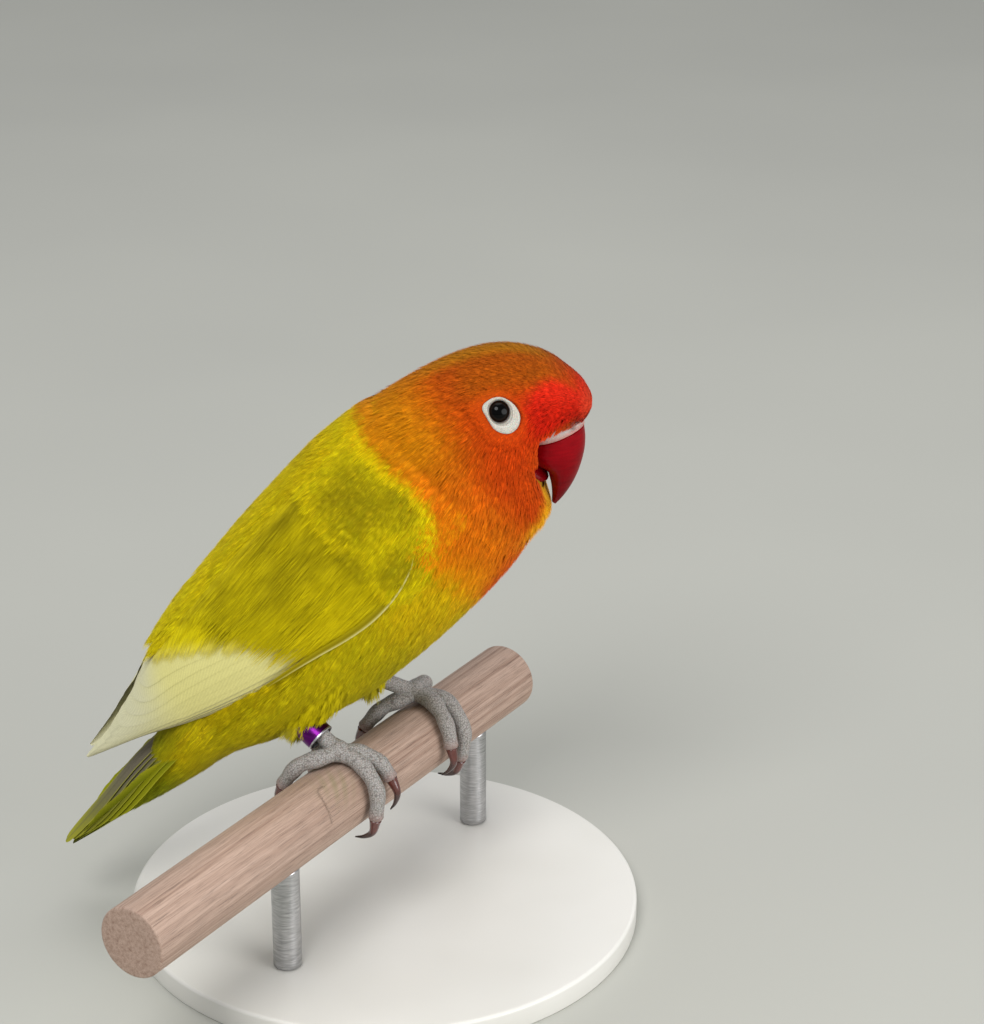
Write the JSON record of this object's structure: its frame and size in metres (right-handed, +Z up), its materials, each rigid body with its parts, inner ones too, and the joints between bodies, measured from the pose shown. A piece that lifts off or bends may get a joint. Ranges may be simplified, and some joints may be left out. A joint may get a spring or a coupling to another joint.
{
  "type": "perched eye-ringed lovebird model on a display stand",
  "caption": "Life-size still model of a small parrot with a bare white eye ring, gripping a round perch held above a disc base by short rods.",
  "frame": {"origin": "middle of the underside of the disc base, on the surface the model stands on", "axes": "+Z up, +X the way the bird faces, +Y the bird's left side"},
  "size_m": [0.124, 0.1311, 0.1311],
  "materials": {
    "face_feathers": "soft matt feathers, red forehead, orange face, browner crown",
    "collar_feathers": "soft matt feathers, orange running into yellow",
    "body_feathers": "soft matt feathers, olive yellow",
    "wing_feathers": "smooth feathers, yellow green mottled olive, cream flight feathers",
    "tail_feathers": "smooth feathers, olive green with grey and yellow edges",
    "cere": "matt bare skin, off-white",
    "bill": "glossy crimson horn",
    "eye": "wet dark brown eye",
    "foot_skin": "grey scaly skin",
    "claw": "dark brown horn",
    "leg_ring": "purple anodised band with bare silver rims",
    "perch_wood": "plain pale dowel, lightly soiled",
    "stand_base": "satin off-white paint",
    "stand_rod": "brushed"
  },
  "bodies": {
    "root": {"head": "face_feathers", "neck": "collar_feathers", "torso": "body_feathers", "tail": "tail_feathers", "wing_right": "wing_feathers", "wing_left": "wing_feathers", "thigh_right": "body_feathers", "thigh_left": "body_feathers", "cere": "cere", "bill_upper": "bill", "bill_lower": "bill", "eye_right": "eye", "eye_left": "eye", "tarsus_right": "foot_skin", "tarsus_left": "foot_skin", "foot_right": "foot_skin", "foot_left": "foot_skin", "claw_right_1": "claw", "claw_right_2": "claw", "claw_right_3": "claw", "claw_right_4": "claw", "claw_left_1": "claw", "claw_left_2": "claw", "claw_left_3": "claw", "claw_left_4": "claw", "leg_ring": "leg_ring", "perch": "perch_wood", "stand_base": "stand_base", "stand_rod_near": "stand_rod", "stand_rod_far": "stand_rod"}
  },
  "joints": []
}
